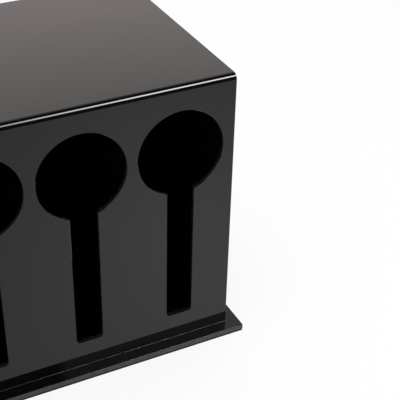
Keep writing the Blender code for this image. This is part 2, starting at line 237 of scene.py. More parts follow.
# The studio as the gloss mirrors it: places, angles above the ground in degrees, and glow
POOL_MIDDLE = (0.162, -0.266)
POOL_REACH = (0.70, 1.24)
POOL_TURN = 28
POOL_GLOW = ((0.0, 0.40), (0.5, 0.464), (0.69, 0.573), (1.0, 0.986))
FLOOR_GLOW = 0.78
WALL_PLACE = 2.0
WALL_HEIGHT = 6.0
WALL_LEVEL = 1.26
WALL_GLOW = (
    (0.0, (1.0, 0.95, 0.94)),
    (1.16, (1.01, 0.90, 0.89)),
    (1.28, (0.90, 0.84, 0.825)),
    (1.41, (0.83, 0.785, 0.765)),
    (1.77, (0.54, 0.52, 0.51)),
    (2.6, (0.44, 0.43, 0.42)),
    (4.2, (0.48, 0.46, 0.45)),
    (6.0, (0.22, 0.21, 0.21)),
)
WALL_SIDES = (-5, 5)
ARCH_RADIUS = 2.6
ARCH_START = 2
ARCH_END = 107
ARCH_STEPS = 32
ARCH_SIDES = (-0.5, 2.2)
CLOTH_EDGE = (-0.76, 0.015)
CLOTH_LEVEL = 1
CLOTH_GLOW = ((0.0, (0.012, 0.012, 0.012)), (1.0, (0.004, 0.004, 0.004)))
STRIP_REACH = 0.5
STRIP_ANGLES = (41, 64)
STRIP_SIDES = (-0.25, 0.75)
STRIP_LEVEL = 17
STRIP_FADE = ((0.02, 0.26), (0.4, 1.2))
STRIP_GLOW = (
    (0.0, (0.1, 0.1, 0.1)),
    (0.12, (0.9, 0.86, 0.82)),
    (0.5, (0.97, 0.98, 1.0)),
    (0.93, (0.9, 0.95, 1.0)),
    (1.0, (0.3, 0.32, 0.35)),
)
FAR_REACH = 2.5
FAR_ANGLES = (40.5, 45.5)
FAR_SIDES = (0.56, 2.2)
FAR_LEVEL = 1.8
FAR_GLOW = ((0.0, (0.95, 0.97, 1.0)), (1.0, (1.0, 0.98, 0.95)))


def new_material(name):
    made = bpy.data.materials.new(name)
    made.use_nodes = True
    tree = made.node_tree
    return made, tree, tree.nodes["Principled BSDF"]


def stretched_place(tree, scale=(1, 1, 1)):
    """Places on the piece, with the pattern squeezed along each axis by this much."""
    place = tree.nodes.new("ShaderNodeTexCoord")
    squeeze = tree.nodes.new("ShaderNodeMapping")
    squeeze.inputs["Scale"].default_value = scale
    tree.links.new(place.outputs["Object"], squeeze.inputs["Vector"])
    return squeeze.outputs["Vector"]


def cloud(tree, vector, scale, detail=3.0, roughness=0.55):
    texture = tree.nodes.new("ShaderNodeTexNoise")
    texture.inputs["Scale"].default_value = scale
    texture.inputs["Detail"].default_value = detail
    texture.inputs["Roughness"].default_value = roughness
    tree.links.new(vector, texture.inputs["Vector"])
    return texture.outputs["Fac"]


def spread(tree, value, low, high, start=0.3, end=0.7):
    """Carries the middle of a pattern's range over to another range of numbers."""
    carry = tree.nodes.new("ShaderNodeMapRange")
    carry.inputs["From Min"].default_value = start
    carry.inputs["From Max"].default_value = end
    carry.inputs["To Min"].default_value = low
    carry.inputs["To Max"].default_value = high
    tree.links.new(value, carry.inputs["Value"])
    return carry.outputs["Result"]


def tint(tree, value, stops):
    """Colours by a pattern's value, from stops of (place, colour)."""
    ramp = tree.nodes.new("ShaderNodeValToRGB")
    elements = ramp.color_ramp.elements
    for index, (place, colour) in enumerate(stops):
        element = elements[index] if index < 2 else elements.new(place)
        element.position = place
        element.color = (*colour, 1.0)
    tree.links.new(value, ramp.inputs["Fac"])
    return ramp.outputs["Color"]


def relief(tree, shader, value, distance, below=None):
    """Lets a pattern stand up from the surface by this distance, on top of another relief."""
    bump = tree.nodes.new("ShaderNodeBump")
    bump.inputs["Distance"].default_value = distance
    tree.links.new(value, bump.inputs["Height"])
    if below:
        tree.links.new(below, bump.inputs["Normal"])
    tree.links.new(bump.outputs["Normal"], shader.inputs["Normal"])
    return bump.outputs["Normal"]


def dress(tree, shader, colour, roughness):
    tree.links.new(colour, shader.inputs["Base Color"])
    tree.links.new(roughness, shader.inputs["Roughness"])


def reckon(tree, operation, first, second):
    """One number from two, by the operation named."""
    made = tree.nodes.new("ShaderNodeMath")
    made.operation = operation
    tree.links.new(first, made.inputs[0])
    tree.links.new(second, made.inputs[1])
    return made.outputs[0]


def along_axes(tree):
    """How far a place on the piece lies along each axis."""
    place = tree.nodes.new("ShaderNodeTexCoord")
    split = tree.nodes.new("ShaderNodeSeparateXYZ")
    tree.links.new(place.outputs["Object"], split.inputs["Vector"])
    return split.outputs


def polished_acrylic():
    """Cast sheet: deep black, hard gloss, a little wavy, with faint wiping marks and dust."""
    made, tree, shader = new_material("polished_black_acrylic")
    place = stretched_place(tree)
    shader.inputs["IOR"].default_value = ACRYLIC_INDEX
    haze = cloud(tree, place, *HAZE)
    dust = tree.nodes.new("ShaderNodeTexVoronoi")
    dust.inputs["Scale"].default_value = DUST_SCALE
    tree.links.new(place, dust.inputs["Vector"])
    specks = tint(tree, dust.outputs["Distance"], DUST_COLOURS)
    colour = tint(tree, haze, HAZE_COLOURS)
    both = tree.nodes.new("ShaderNodeMix")
    both.data_type = "RGBA"
    both.blend_type = "ADD"
    both.inputs[MIX_SHARE].default_value = 1.0
    tree.links.new(colour, both.inputs[MIX_FIRST])
    tree.links.new(specks, both.inputs[MIX_SECOND])
    wiping = cloud(tree, stretched_place(tree, WIPING_STRETCH), *WIPING)
    dress(tree, shader, both.outputs[MIX_RESULT], spread(tree, wiping, *WIPING_ROUGHNESS))
    wave = relief(tree, shader, cloud(tree, place, *WAVE), WAVE_HEIGHT)
    relief(tree, shader, cloud(tree, place, *RIPPLE), RIPPLE_HEIGHT, wave)
    return made


def cut_edge(through):
    """The sheet's edge off the saw and the flame: satin, with marks that run through it."""
    squeeze = [1.0, 1.0, 1.0]
    squeeze["xyz".index(through)] = SAW_STRETCH
    made, tree, shader = new_material(f"cut_edge_through_{through}")
    shader.inputs["IOR"].default_value = ACRYLIC_INDEX
    marks = cloud(tree, stretched_place(tree, squeeze), *SAW_MARKS)
    patches = cloud(tree, stretched_place(tree), *SATIN_PATCHES)
    colour = tint(tree, marks, SAW_COLOURS)
    dress(tree, shader, colour, spread(tree, patches, *SATIN_ROUGHNESS))
    relief(tree, shader, marks, SAW_HEIGHT)
    return made


def laser_edge():
    """The windows' edge: the laser leaves it nearly as glossy as the face, with fine drag lines."""
    made, tree, shader = new_material("laser_cut_edge")
    shader.inputs["IOR"].default_value = ACRYLIC_INDEX
    lines = cloud(tree, stretched_place(tree, DRAG_STRETCH), *DRAG_LINES)
    colour = tint(tree, lines, DRAG_COLOURS)
    dress(tree, shader, colour, spread(tree, lines, *DRAG_ROUGHNESS))
    relief(tree, shader, lines, DRAG_HEIGHT)
    return made


def cement():
    """Solvent that ran out of a joint and set, as glossy as the sheet."""
    made, tree, shader = new_material("set_cement")
    place = stretched_place(tree)
    shader.inputs["IOR"].default_value = ACRYLIC_INDEX
    colour = tint(tree, cloud(tree, place, CEMENT_CLOUD), CEMENT_COLOURS)
    gloss = spread(tree, cloud(tree, place, CEMENT_GLOSS), *CEMENT_ROUGHNESS)
    dress(tree, shader, colour, gloss)
    relief(tree, shader, cloud(tree, place, CEMENT_RUNS), CEMENT_HEIGHT)
    return made


def moulded_plastic():
    """Hinge leaves: black plastic with the fine grain of its mould, rubbed smoother in places."""
    made, tree, shader = new_material("moulded_black_plastic")
    place = stretched_place(tree)
    grain = cloud(tree, place, *MOULD_GRAIN)
    colour = tint(tree, cloud(tree, place, MOULD_CLOUD), MOULD_COLOURS)
    dress(tree, shader, colour, spread(tree, cloud(tree, place, RUBBED), *RUBBED_ROUGHNESS))
    relief(tree, shader, grain, MOULD_HEIGHT)
    return made


def drawn_steel():
    """Pins, screw and strike: bright steel with fine lines round it and a few dull patches."""
    made, tree, shader = new_material("drawn_steel")
    shader.inputs["Metallic"].default_value = 1.0
    lines = cloud(tree, stretched_place(tree, STEEL_STRETCH), *STEEL_LINES)
    patches = cloud(tree, stretched_place(tree), *STEEL_PATCHES)
    colour = tint(tree, patches, STEEL_COLOURS)
    dress(tree, shader, colour, spread(tree, lines, *STEEL_ROUGHNESS))
    relief(tree, shader, lines, STEEL_HEIGHT)
    return made


def nickel_plate():
    """The magnet's plating: warm, bright, with slight clouding."""
    made, tree, shader = new_material("nickel_plate")
    shader.inputs["Metallic"].default_value = 1.0
    place = stretched_place(tree)
    colour = tint(tree, cloud(tree, place, NICKEL_CLOUD), NICKEL_COLOURS)
    gloss = spread(tree, cloud(tree, place, NICKEL_GLOSS), *NICKEL_ROUGHNESS)
    dress(tree, shader, colour, gloss)
    return made


def foot_rubber():
    """Soft black rubber, matt, with a little pale dust in its grain."""
    made, tree, shader = new_material("foot_rubber")
    place = stretched_place(tree)
    grain = cloud(tree, place, *RUBBER_GRAIN)
    colour = tint(tree, grain, RUBBER_COLOURS)
    dress(tree, shader, colour, spread(tree, grain, *RUBBER_ROUGHNESS))
    relief(tree, shader, grain, RUBBER_HEIGHT)
    return made


def box_shape(low, high):
    shape = bmesh.new()
    bmesh.ops.create_cube(shape, size=1)
    low, high = Vector(low), Vector(high)
    bmesh.ops.scale(shape, vec=high - low, verts=shape.verts)
    bmesh.ops.translate(shape, vec=(low + high) / 2, verts=shape.verts)
    return shape


def rod_shape(radius, length):
    shape = bmesh.new()
    bmesh.ops.create_cone(
        shape, cap_ends=True, segments=TURN_STEPS, radius1=radius, radius2=radius, depth=length
    )
    return shape


def turned_shape(profile):
    """A shape turned about Z from its (radius, height) profile, from the axis out and back."""
    shape = bmesh.new()
    corners = [shape.verts.new((radius, 0, height)) for radius, height in profile]
    edges = [shape.edges.new(pair) for pair in zip(corners, corners[1:])]
    bmesh.ops.spin(
        shape,
        geom=corners + edges,
        axis=(0, 0, 1),
        cent=(0, 0, 0),
        angle=2 * math.pi,
        steps=TURN_STEPS,
        use_merge=True,
    )
    bmesh.ops.remove_doubles(shape, verts=shape.verts, dist=CLOSE)
    bmesh.ops.recalc_face_normals(shape, faces=shape.faces)
    return shape


def draw_out(shape, extruded, reach):
    """Carries what an extrusion made away from where it started."""
    moved = [item for item in extruded["geom"] if isinstance(item, bmesh.types.BMVert)]
    bmesh.ops.translate(shape, vec=reach, verts=moved)


def round_off(shape, geom, radius, steps, affect="EDGES"):
    bmesh.ops.bevel(
        shape,
        geom=geom,
        offset=radius,
        segments=steps,
        profile=0.5,
        affect=affect,
        material=-1,
    )


def quarter(centre, radius, start, end, steps=QUARTER_STEPS):
    """Points of a round between two angles, in degrees."""
    turns = [math.radians(start + (end - start) * step / steps) for step in range(steps + 1)]
    return [
        (centre[0] + radius * math.cos(turn), centre[1] + radius * math.sin(turn))
        for turn in turns
    ]


def set_down(shape, place, turn=(0, 0, 0)):
    """Turns a shape about the origin and carries it to its place."""
    turning = Euler([math.radians(angle) for angle in turn]).to_matrix().to_4x4()
    bmesh.ops.transform(shape, matrix=Matrix.Translation(place) @ turning, verts=shape.verts)
    return shape


def object_of(name, shape, materials=()):
    """Makes a shape an object with these finishes, and frees the shape."""
    mesh = bpy.data.meshes.new(name)
    shape.to_mesh(mesh)
    shape.free()
    for material in materials:
        mesh.materials.append(material)
    obj = bpy.data.objects.new(name, mesh)
    bpy.context.scene.collection.objects.link(obj)
    return obj


def combine(obj, shape, operation="DIFFERENCE", *finishes):
    """Cuts a shape out of a piece, or joins it on. The cut faces take the shape's finishes."""
    other = object_of(f"{obj.name}_tool", shape, finishes)
    boolean = obj.modifiers.new("combine", "BOOLEAN")
    boolean.operation = operation
    boolean.object = other
    if finishes:
        boolean.material_mode = "TRANSFER"
    settle(obj)
    bpy.data.objects.remove(other, do_unlink=True)


def settle(obj):
    """Makes the modified shape the piece's own mesh."""
    bpy.context.view_layer.update()
    graph = bpy.context.evaluated_depsgraph_get()
    mesh = bpy.data.meshes.new_from_object(obj.evaluated_get(graph))
    obj.modifiers.clear()
    obj.data = mesh
    mesh.name = obj.name


def break_edges(obj, width):
    """Breaks the square corners with a fine round, and keeps the flats shading flat up to it."""
    obj.data.shade_smooth()
    bevel = obj.modifiers.new("break", "BEVEL")
    bevel.width = width
    bevel.segments = BREAK_STEPS
    bevel.limit_method = "ANGLE"
    bevel.angle_limit = math.radians(BREAK_ANGLE)
    settle(obj)
    obj.data.set_sharp_from_angle(angle=math.radians(CRISP))
    weigh = obj.modifiers.new("weigh", "WEIGHTED_NORMAL")
    weigh.weight = BREAK_WEIGHT
    weigh.keep_sharp = True
    settle(obj)


def shade_turned(obj):
    obj.data.shade_smooth()
    obj.data.set_sharp_from_angle(angle=math.radians(TURNED_CRISP))


def join_to(obj, body, slot, *nodes):
    """Puts a piece on its body and in place of its solids. Its material slot is not used."""
    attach(obj, body)
    if nodes:
        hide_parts(*nodes)


def finish_faces(obj, through):
    """Gives the cut edge finish to all but the two faces of a sheet."""
    axis = "xyz".index(through)
    for face in obj.data.polygons:
        face.material_index = int(abs(face.normal[axis]) < 0.5)


def sheet_piece(node, through, grow=((0, 0, 0), (0, 0, 0)), body="cabinet"):
    """A flat sheet over its solid. It grows into the seams where it is cemented to others."""
    low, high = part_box(node)
    shape = box_shape(low - Vector(grow[0]), high + Vector(grow[1]))
    obj = object_of(f"{node}_sheet", shape, [ACRYLIC, EDGES[through]])
    finish_faces(obj, through)
    join_to(obj, body, "black_acrylic", node)
    return obj


def keyhole_shape():
    """The window as a solid to cut with: a turned arc, its slot pulled down, its corners rounded.

    It flares out at the front, which leaves a fine polished arris round the window.
    """
    half = SLOT_WIDTH / 2 - ARRIS_INSIDE
    radius = WINDOW_RADIUS - ARRIS_INSIDE
    neck = math.asin(half / radius)
    shape = bmesh.new()
    start = shape.verts.new((half, 0, -radius * math.cos(neck)))
    turned = bmesh.ops.spin(
        shape,
        geom=[start],
        axis=(0, -1, 0),
        cent=(0, 0, 0),
        angle=2 * math.pi - 2 * neck,
        steps=WINDOW_STEPS,
    )
    end = next(item for item in turned["geom_last"] if isinstance(item, bmesh.types.BMVert))
    floor = SLOT_BOTTOM + ARRIS_INSIDE - WINDOW_HEIGHT
    corners = []
    for neck_corner in (start, end):
        pulled = bmesh.ops.extrude_vert_indiv(shape, verts=[neck_corner])["verts"][0]
        pulled.co.z = floor
        corners.append(pulled)
    shape.edges.new(corners)
    bmesh.ops.contextual_create(shape, geom=shape.edges[:])
    round_off(shape, corners, SLOT_CORNER, CORNER_STEPS, "VERTICES")
    round_off(shape, [start, end], NECK_ROUND, CORNER_STEPS, "VERTICES")
    swept = bmesh.ops.extrude_face_region(shape, geom=shape.faces[:])
    draw_out(shape, swept, (0, SHEET + CUT_OVERRUN, 0))
    bmesh.ops.translate(shape, vec=(0, ARRIS_DEPTH, 0), verts=shape.verts)
    bmesh.ops.recalc_face_normals(shape, faces=shape.faces)
    front = min(shape.faces, key=lambda face: face.calc_center_median().y)
    flare = bmesh.ops.inset_individual(
        shape,
        faces=[front],
        thickness=-ARRIS_OVERRUN * ARRIS_WIDTH,
        depth=ARRIS_OVERRUN * ARRIS_DEPTH,
        use_even_offset=True,
    )
    for face in flare["faces"]:
        face.material_index = 1
    return shape


def bent_sheet():
    """The front and top: one sheet over a smooth bend, with its keyhole windows."""
    low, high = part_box("front_top_shell")
    floor = low.z - SEAM
    shape = bmesh.new()
    line = [(low.x, low.y, floor), (low.x, low.y, high.z), (low.x, high.y, high.z)]
    corners = [shape.verts.new(place) for place in line]
    edges = [shape.edges.new(pair) for pair in zip(corners, corners[1:])]
    swept = bmesh.ops.extrude_edge_only(shape, edges=edges)
    draw_out(shape, swept, (high.x - low.x, 0, 0))
    bend = [edge for edge in shape.edges if len(edge.link_faces) == 2]
    round_off(shape, bend, BEND_RADIUS, BEND_STEPS)
    bmesh.ops.recalc_face_normals(shape, faces=shape.faces)
    if sum(face.normal.z - face.normal.y for face in shape.faces) < 0:
        bmesh.ops.reverse_faces(shape, faces=shape.faces)
    obj = object_of("front_top_sheet", shape, [ACRYLIC, EDGES["y"]])
    wall = obj.modifiers.new("wall", "SOLIDIFY")
    wall.thickness = SHEET
    wall.offset = -1
    wall.use_even_offset = True
    wall.material_offset_rim = 1
    settle(obj)
    middle = (low.x + high.x) / 2
    for step in (-1, 0, 1):
        window = keyhole_shape()
        place = (middle + step * WINDOW_PITCH, low.y, floor + WINDOW_HEIGHT)
        combine(obj, set_down(window, place), "DIFFERENCE", LASER_EDGE, ACRYLIC)
    break_edges(obj, EDGE_BREAK)
    join_to(obj, "cabinet", "black_acrylic", "front_top_shell")


def plate():
    """The plinth: a thicker sheet, with its corners broken a little less."""
    obj = sheet_piece("base_plate", "z")
    break_edges(obj, PLATE_EDGE_BREAK)


def panels():
    """Side panels and dividers. Their front top corner follows the inside of the bend."""
    for node in ("side_panel_left", "side_panel_right", "divider_1", "divider_2"):
        obj = sheet_piece(node, "x", ((0, SEAM, SEAM), (0, 0, SEAM)))
        shape = bmesh.new()
        shape.from_mesh(obj.data)
        low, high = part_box(node)
        corner = [
            edge
            for edge in shape.edges
            if all(vert.co.z > high.z and vert.co.y < low.y for vert in edge.verts)
        ]
        round_off(shape, corner, BEND_RADIUS - SHEET + SEAM, CORNER_STEPS)
        shape.to_mesh(obj.data)
        shape.free()
        break_edges(obj, EDGE_BREAK)


def stile_and_door():
    """The strip that carries the hinges, and the door with the hole for its knob's screw."""
    stile = sheet_piece("hinge_stile", "y", ((SEAM, 0, SEAM), (0, 0, SEAM)))
    break_edges(stile, EDGE_BREAK)
    door = sheet_piece("rear_door", "y", body="door")
    screw_low, screw_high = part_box("knob_screw")
    middle = (screw_low + screw_high) / 2
    bore = set_down(rod_shape(SCREW_SHANK + SEAM, BORE_RUN * SHEET), middle, BORED)
    combine(door, bore, "DIFFERENCE", EDGES["y"])
    break_edges(door, EDGE_BREAK)


def bead(name, start, end, outward):
    """Set cement along a joint on the plate: a small fillet that wanders a little in width."""
    start, end = Vector(start), Vector(end)
    along = end - start
    shape = bmesh.new()
    legs = [(-BEAD_BURY, -BEAD_BURY)]
    legs += [(BEAD_LEG, -BEAD_BURY), (BEAD_LEG, 0)]
    legs += quarter((BEAD_LEG, BEAD_LEG), BEAD_LEG, *BEAD_ARC, FINE_STEPS)
    legs += [(0, BEAD_LEG), (-BEAD_BURY, BEAD_LEG)]
    outward = Vector(outward)
    corners = [shape.verts.new(start + outward * out + Vector((0, 0, up))) for out, up in legs]
    section = shape.faces.new(corners)
    draw_out(shape, bmesh.ops.extrude_face_region(shape, geom=[section]), along)
    least = BEAD_LONG_EDGE * along.length
    long_edges = [edge for edge in shape.edges if edge.calc_length() > least]
    bmesh.ops.subdivide_edges(shape, edges=long_edges, cuts=BEAD_CUTS, use_grid_fill=True)
    for vert in shape.verts:
        out = (vert.co - start).dot(outward)
        if out > 0 or vert.co.z - start.z > 0:
            wander = noise.noise(vert.co.project(along) * BEAD_GRAIN + start * BEAD_SHIFT)
            vert.co += (outward + Vector((0, 0, 1))) * (wander - BEAD_LEAN) * BEAD_WANDER
    bmesh.ops.recalc_face_normals(shape, faces=shape.faces)
    obj = object_of(name, shape, [CEMENT])
    shade_turned(obj)
    join_to(obj, "cabinet", "black_acrylic")


def beads():
    """Cement shows where the upright sheets stand on the plate."""
    low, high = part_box("front_top_shell")
    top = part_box("base_plate")[1].z
    bead("front_joint_bead", (low.x, low.y, top), (high.x, low.y, top), (0, -1, 0))
    bead("left_joint_bead", (low.x, high.y, top), (low.x, low.y, top), (-1, 0, 0))
    bead("right_joint_bead", (high.x, low.y, top), (high.x, high.y, top), (1, 0, 0))


def hinge_leaf(node, side, own, body):
    """A leaf with its barrel, the other leaf's knuckles cut out of it, and the pin's bore."""
    low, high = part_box(node)
    axis_x, axis_y, _ = frame["joints"][0]["pos_m"]
    radius = high.y - axis_y
    length = high.z - low.z
    middle = (axis_x, axis_y, (low.z + high.z) / 2)
    obj = object_of(f"{node}_moulding", set_down(rod_shape(radius, length), middle), [PLASTIC])
    leaf_low = (low.x if side < 0 else axis_x, axis_y - radius, low.z)
    leaf_high = (axis_x if side < 0 else high.x, axis_y - radius + LEAF_THICKNESS, high.z)
    leaf = box_shape(leaf_low, leaf_high)
    tip = low.x if side < 0 else high.x
    ends = [
        edge
        for edge in leaf.edges
        if abs(edge.verts[0].co.z - edge.verts[1].co.z) < CLOSE
        and abs(edge.verts[0].co.y - edge.verts[1].co.y) > CLOSE
        and abs(edge.verts[0].co.x - tip) < CLOSE
    ]
    round_off(leaf, ends, LEAF_ROUND, LEAF_ROUND_STEPS)
    combine(obj, leaf, "UNION")
    step = length / KNUCKLES
    reach = radius + KNUCKLE_GAP
    for knuckle in range(KNUCKLES):
        if knuckle in own:
            continue
        base = low.z + knuckle * step - KNUCKLE_GAP / 2
        top = base + step + KNUCKLE_GAP
        base -= CUT_OVERRUN if knuckle == 0 else 0
        top += CUT_OVERRUN if knuckle == KNUCKLES - 1 else 0
        notch = box_shape(
            (axis_x - reach, axis_y - 2 * reach, base), (axis_x + reach, axis_y + 2 * reach, top)
        )
        combine(obj, notch)
    combine(obj, set_down(rod_shape(BORE_RADIUS, 2 * length), middle))
    break_edges(obj, SMALL_BREAK)
    join_to(obj, body, "hinge_plastic", node)


def hinge_pin(node):
    """The pin's low domed head rests on the top knuckle."""
    low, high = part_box(node)
    middle = (low + high) / 2
    head = (high.x - low.x) / 2
    length = high.z - low.z
    collar = length - PIN_HEAD_HEIGHT
    rim = (head - PIN_HEAD_ROUND, length - PIN_CROWN - PIN_HEAD_ROUND)
    profile = (
        [(0, length), (head / 2, length - PIN_CROWN)]
        + quarter(rim, PIN_HEAD_ROUND, PIN_SHOULDER, 0)
        + [(head, collar), (PIN_RADIUS, collar)]
        + [(PIN_RADIUS, PIN_TIP), (PIN_RADIUS - PIN_TIP, 0), (0, 0)]
    )
    obj = object_of(f"{node}_rod", turned_shape(profile), [STEEL])
    obj.data.transform(Matrix.Translation((middle.x, middle.y, low.z)))
    shade_turned(obj)
    join_to(obj, "cabinet", "pin_steel", node)


def hinges():
    """Two butt hinges: three knuckles on the stile, two on the door, and a pin through them."""
    for name in ("upper", "lower"):
        hinge_leaf(f"{name}_hinge_stile_leaf", -1, (0, 2, 4), "cabinet")
        hinge_leaf(f"{name}_hinge_door_leaf", 1, (1, 3), "door")
        hinge_pin(f"{name}_hinge_pin")


def turning_room(node):
    """The radius and length of a piece turned about Y, and the middle of its front end."""
    low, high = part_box(node)
    place = Vector(((low.x + high.x) / 2, low.y, (low.z + high.z) / 2))
    return (high.x - low.x) / 2, high.y - low.y, place


def knob():
    """A turned knob: dished face, rounded rim with a fine groove, and a waist for the fingers."""
    radius, length, place = turning_room("door_knob")
    edge = radius - KNOB_ROUND
    shoulder = KNOB_NECK_LENGTH + KNOB_ROUND
    waist = (shoulder + length - KNOB_ROUND) / 2
    fillet = KNOB_ROUND / 2
    profile = (
        [(0, length - KNOB_DISH), (edge - 2 * KNOB_DISH, length - KNOB_DISH)]
        + [(edge - KNOB_DISH, length - KNOB_DISH / 3)]
        + quarter((edge, length - KNOB_ROUND), KNOB_ROUND, 90, 0)
        + [(radius, waist + KNOB_GROOVE), (radius - KNOB_GROOVE, waist)]
        + [(radius, waist - KNOB_GROOVE)]
        + quarter((edge, shoulder), KNOB_ROUND, 0, -90)
        + quarter((KNOB_NECK_RADIUS + fillet, KNOB_NECK_LENGTH - fillet), fillet, 90, 180)
        + [(KNOB_NECK_RADIUS, 0), (0, 0)]
    )
    shape = set_down(turned_shape(profile), place, LYING)
    obj = object_of("door_knob_turning", shape, [ACRYLIC])
    shade_turned(obj)
    join_to(obj, "door", "black_acrylic", "door_knob")


def screw():
    """The knob's screw: a pan head with a cross recess, seen when the door is open."""
    head, length, place = turning_room("knob_screw")
    profile = (
        [(0, length), (SCREW_SHANK, length), (SCREW_SHANK, SCREW_HEAD), (head, SCREW_HEAD)]
        + [(head, SCREW_HEAD_ROUND + SCREW_RIM)]
        + quarter((head - SCREW_HEAD_ROUND, SCREW_HEAD_ROUND), SCREW_HEAD_ROUND, 0, -90)
        + [(0, 0)]
    )
    shape = set_down(turned_shape(profile), place, LYING)
    obj = object_of("knob_screw_turning", shape, [STEEL])
    for across, up in ((CROSS_LENGTH, CROSS_WIDTH), (CROSS_WIDTH, CROSS_LENGTH)):
        half = Vector((across / 2, CROSS_DEPTH, up / 2))
        combine(obj, box_shape(place - half, place + half))
    shade_turned(obj)
    join_to(obj, "door", "pin_steel", "knob_screw")


def disc(node, body, material, slot, rim):
    """A short round piece that lies across Y, with its rims broken."""
    radius, length, place = turning_room(node)
    profile = (
        [(0, length)]
        + quarter((radius - rim, length - rim), rim, 90, 0, FINE_STEPS)
        + quarter((radius - rim, rim), rim, 0, -90, FINE_STEPS)
        + [(0, 0)]
    )
    obj = object_of(f"{node}_disc", set_down(turned_shape(profile), place, LYING), [material])
    shade_turned(obj)
    join_to(obj, body, slot, node)


def catch():
    """The magnet sits in a pocket of its block, and the strike faces it on the door."""
    low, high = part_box("catch_block")
    obj = object_of("catch_block_piece", box_shape(low, high + Vector((SEAM, 0, 0))), [ACRYLIC])
    magnet_low, magnet_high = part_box("catch_magnet")
    middle = (magnet_low + magnet_high) / 2
    pocket = rod_shape(POCKET_RADIUS, 2 * (middle.y - magnet_low.y) + 2 * SEAM)
    combine(obj, set_down(pocket, middle, BORED))
    break_edges(obj, EDGE_BREAK)
    join_to(obj, "cabinet", "black_acrylic", "catch_block")
    disc("catch_magnet", "cabinet", NICKEL, "magnet_plate", MAGNET_RIM)
    disc("catch_strike", "door", STEEL, "pin_steel", STRIKE_RIM)


def feet():
    """Rubber buttons under the plate, wider where they stick to it."""
    for place in ("front_left", "front_right", "rear_left", "rear_right"):
        node = f"foot_{place}"
        low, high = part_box(node)
        radius = (high.x - low.x) / 2
        height = high.z - low.z + SEAM
        foot = radius - FOOT_TAPER
        profile = (
            [(0, height), (radius, height), (radius, height - FOOT_EDGE)]
            + quarter((foot - FOOT_EDGE, FOOT_EDGE), FOOT_EDGE, 0, -90)
            + [(0, 0)]
        )
        centre = ((low.x + high.x) / 2, (low.y + high.y) / 2, low.z)
        obj = object_of(f"{node}_button", set_down(turned_shape(profile), centre), [RUBBER])
        shade_turned(obj)
        join_to(obj, "cabinet", "foot_rubber", node)


def camera():
    """The photograph's own view. Its middle lies off the frame's, so the lens is shifted."""
    lens = bpy.data.cameras.new("camera")
    lens.sensor_width = SENSOR
    lens.lens = FOCAL_PIXELS / PICTURE_WIDTH * SENSOR
    lens.shift_x = (PICTURE_WIDTH / 2 - MIDDLE_ACROSS) / PICTURE_WIDTH
    lens.shift_y = (MIDDLE_DOWN - PICTURE_WIDTH / 2) / PICTURE_WIDTH
    lens.clip_start = CLIP_START
    holder = bpy.data.objects.new("camera", lens)
    bpy.context.scene.collection.objects.link(holder)
    turn = Matrix.Rotation(math.radians(CAMERA_YAW), 3, "Z")
    tip = Matrix.Rotation(math.radians(90 + CAMERA_PITCH), 3, "X")
    roll = Matrix.Rotation(math.radians(CAMERA_ROLL), 3, "Z")
    holder.location = CAMERA_PLACE
    holder.rotation_euler = (turn @ tip @ roll).to_euler()
    bpy.context.scene.camera = holder


def light_share(tree):
    """1 for what the camera sees, straight or in gloss and glass, and 0 for the light that falls.

    The second number is 1 in gloss alone.
    """
    path = tree.nodes.new("ShaderNodeLightPath").outputs
    either = reckon(tree, "MAXIMUM", path["Is Camera Ray"], path["Is Glossy Ray"])
    seen = reckon(tree, "MAXIMUM", either, path["Is Transmission Ray"])
    return seen, path["Is Glossy Ray"]


def world():
    """White behind everything, and a softer white as light."""
    made = bpy.data.worlds.new("studio")
    bpy.context.scene.world = made
    made.use_nodes = True
    tree = made.node_tree
    ground = tree.nodes["Background"]
    ground.inputs["Color"].default_value = (1, 1, 1, 1)
    seen, _ = light_share(tree)
    tree.links.new(spread(tree, seen, SKY_LIGHT, 1, 0, 1), ground.inputs["Strength"])


def pool(tree, middle, reach, turn):
    """1 at a point of the ground, falling to 0 along the rim of an ellipse about it."""
    place = tree.nodes.new("ShaderNodeTexCoord")
    centred = tree.nodes.new("ShaderNodeMapping")
    centred.vector_type = "TEXTURE"
    centred.inputs["Location"].default_value = (*middle, 0)
    centred.inputs["Rotation"].default_value = (0, 0, math.radians(turn))
    centred.inputs["Scale"].default_value = (*reach, 1)
    ball = tree.nodes.new("ShaderNodeTexGradient")
    ball.gradient_type = "SPHERICAL"
    tree.links.new(place.outputs["Object"], centred.inputs["Vector"])
    tree.links.new(centred.outputs["Vector"], ball.inputs["Vector"])
    return ball.outputs["Fac"]


def outside_plate(tree):
    """0 on the ground under the plate, and 1 everywhere else."""
    _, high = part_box("base_plate")
    places = along_axes(tree)
    within = []
    for axis, reach in (("X", high.x), ("Y", high.y)):
        near = tree.nodes.new("ShaderNodeMath")
        near.operation = "COMPARE"
        near.inputs[1].default_value = 0.0
        near.inputs[2].default_value = reach
        tree.links.new(places[axis], near.inputs[0])
        within.append(near.outputs[0])
    return spread(tree, reckon(tree, "MULTIPLY", *within), 1, 0, 0, 1)


def glow_only(name):
    """A material with nothing on its surface yet, and the glow to put there."""
    made, tree, shader = new_material(name)
    tree.nodes.remove(shader)
    return made, tree, tree.nodes.new("ShaderNodeEmission")


